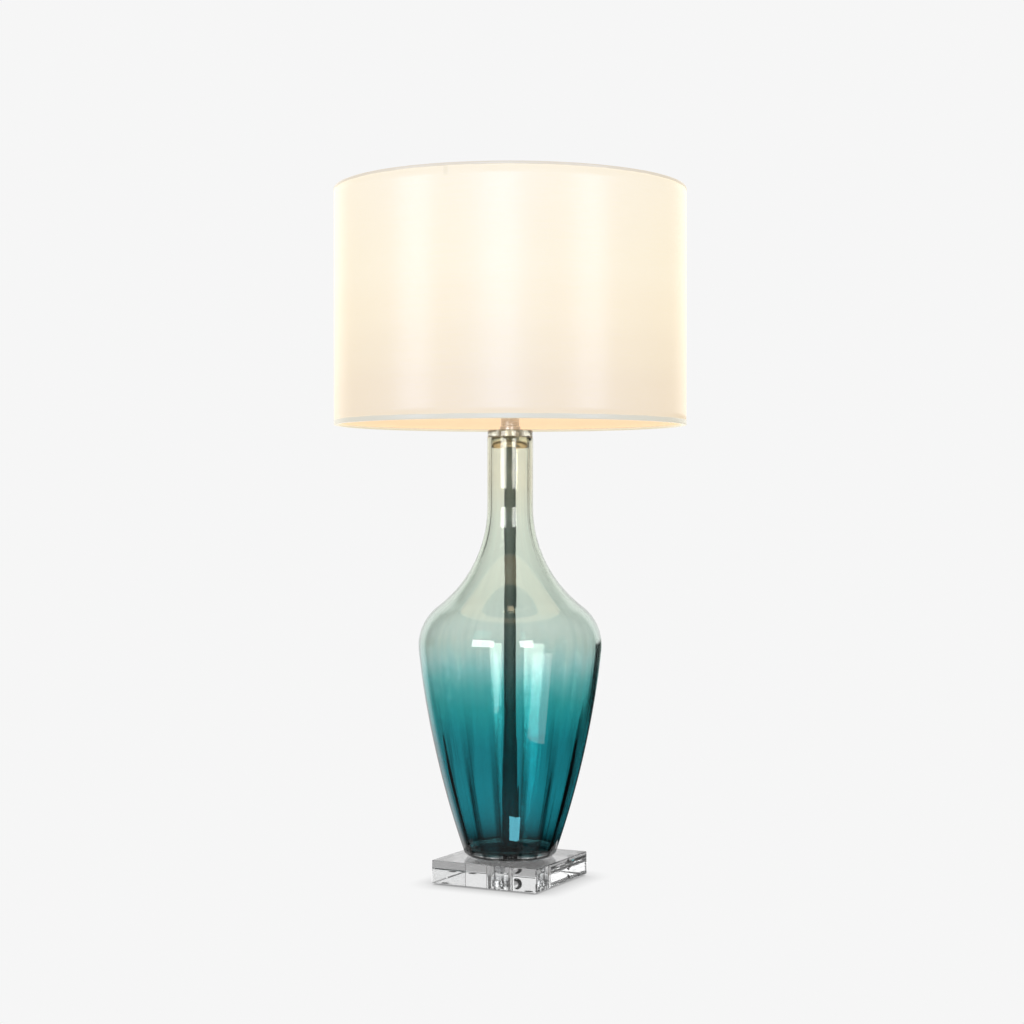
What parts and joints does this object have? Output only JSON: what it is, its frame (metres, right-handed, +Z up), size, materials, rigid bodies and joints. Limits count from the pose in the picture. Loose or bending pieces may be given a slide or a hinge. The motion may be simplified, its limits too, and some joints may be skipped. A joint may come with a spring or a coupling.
{
  "type": "table lamp with shade",
  "caption": "Table lamp with a teal-to-clear blown glass baluster body on a square clear crystal base, a chrome neck tube and a white satin drum shade on a harp.",
  "frame": {"origin": "on the table, at the centre of the square base", "axes": "+Z up along the threaded rod; +X and +Y square to the base's faces, +Y towards the face with the cord hole, -Y the side of the switch knob"},
  "size_m": [0.3815, 0.3816, 0.7597],
  "materials": {
    "crystal": "polished clear block",
    "clear_vinyl": "clear soft vinyl",
    "teal_glass": "polished blown glass, teal fading to clear",
    "clear_glass": "polished clear glass",
    "zinc_steel": "zinc plated",
    "polished_chrome": "polished",
    "brass": "bright",
    "nickel": "nickel plated",
    "white_plastic": "moulded",
    "black_plastic": "moulded, glossy",
    "card": "pressed fibre card",
    "frosted_glass": "inside frosted",
    "aluminium": "rolled",
    "white_satin": "satin weave, laminated",
    "styrene": "translucent sheet",
    "hem_tape": "folded fabric tape",
    "white_wire": "powder coated"
  },
  "bodies": {
    "lamp": {"base_block": "crystal", "base_feet": "clear_vinyl", "base_plug": "zinc_steel", "base_washer": "zinc_steel", "base_lock_washer": "zinc_steel", "base_nut": "zinc_steel", "cord_grommet": "clear_vinyl", "body_gasket": "clear_vinyl", "glass_body": "teal_glass", "bottom_bush": "clear_vinyl", "threaded_rod": "zinc_steel", "rod_sleeve": "polished_chrome", "cap_gasket": "clear_vinyl", "neck_cap": "clear_glass", "neck_tube": "polished_chrome", "neck_collar": "polished_chrome", "tube_washer": "polished_chrome", "harp_saddle": "nickel", "saddle_nut": "zinc_steel", "socket_cap": "nickel", "socket_screw": "zinc_steel", "socket_shell": "nickel", "socket_insulator": "card", "socket_body": "white_plastic", "terminal_screws": "brass", "socket_screw_shell": "brass", "socket_contact": "brass"},
    "harp": {"harp_loop": "nickel", "harp_clip": "nickel"},
    "ferrule_left": {"ferrule_left": "nickel"},
    "ferrule_right": {"ferrule_right": "nickel"},
    "shade": {"harp_swivel": "nickel", "shade_liner": "styrene", "shade_fabric": "white_satin", "top_ring": "white_wire", "bottom_ring": "white_wire", "shade_top_hem": "hem_tape", "shade_bottom_hem": "hem_tape", "shade_seam": "white_satin", "spider": "white_wire"},
    "finial_insert": {"finial_insert": "brass"},
    "finial": {"finial": "polished_chrome"},
    "bulb_tip": {"bulb_contact": "brass", "bulb_insulator": "black_plastic"},
    "bulb": {"bulb_base": "aluminium", "bulb_glass": "frosted_glass", "bulb_stem": "clear_glass"},
    "switch": {"switch_shaft": "brass", "switch_knob": "black_plastic"}
  },
  "joints": [
    {"name": "harp_lift", "type": "slide", "parent": "lamp", "child": "harp", "axis": [0, 0, 1], "range_m": [0, 0.018]},
    {"name": "ferrule_left_slide", "type": "slide", "parent": "harp", "child": "ferrule_left", "axis": [0, 0, 1], "range_m": [0, 0.016]},
    {"name": "ferrule_right_slide", "type": "slide", "parent": "harp", "child": "ferrule_right", "axis": [0, 0, 1], "range_m": [0, 0.016]},
    {"name": "shade_turn", "type": "hinge", "parent": "harp", "child": "shade", "pos_m": [0, 0, 0.7345], "axis": [0, 0, 1], "continuous": true},
    {"name": "finial_rise", "type": "slide", "parent": "shade", "child": "finial_insert", "axis": [0, 0, 1], "range_m": [0, 0.01139]},
    {"name": "finial_turn", "type": "hinge", "parent": "finial_insert", "child": "finial", "pos_m": [0, 0, 0.7425], "axis": [0, 0, 1], "range_deg": [0, 4320]},
    {"name": "bulb_rise", "type": "slide", "parent": "lamp", "child": "bulb_tip", "axis": [0, 0, 1], "range_m": [0, 0.01824]},
    {"name": "bulb_turn", "type": "hinge", "parent": "bulb_tip", "child": "bulb", "pos_m": [0, 0, 0.5785], "axis": [0, 0, 1], "range_deg": [0, 1800]},
    {"name": "switch_turn", "type": "hinge", "parent": "lamp", "child": "switch", "pos_m": [0, -0.03, 0.5545], "axis": [0, -1, 0], "continuous": true}
  ],
  "couplings": [
    {"joint": "finial_rise", "follows": "finial_turn", "m_per_rad": 0.00014972},
    {"joint": "bulb_rise", "follows": "bulb_turn", "m_per_rad": 0.0005775}
  ]
}
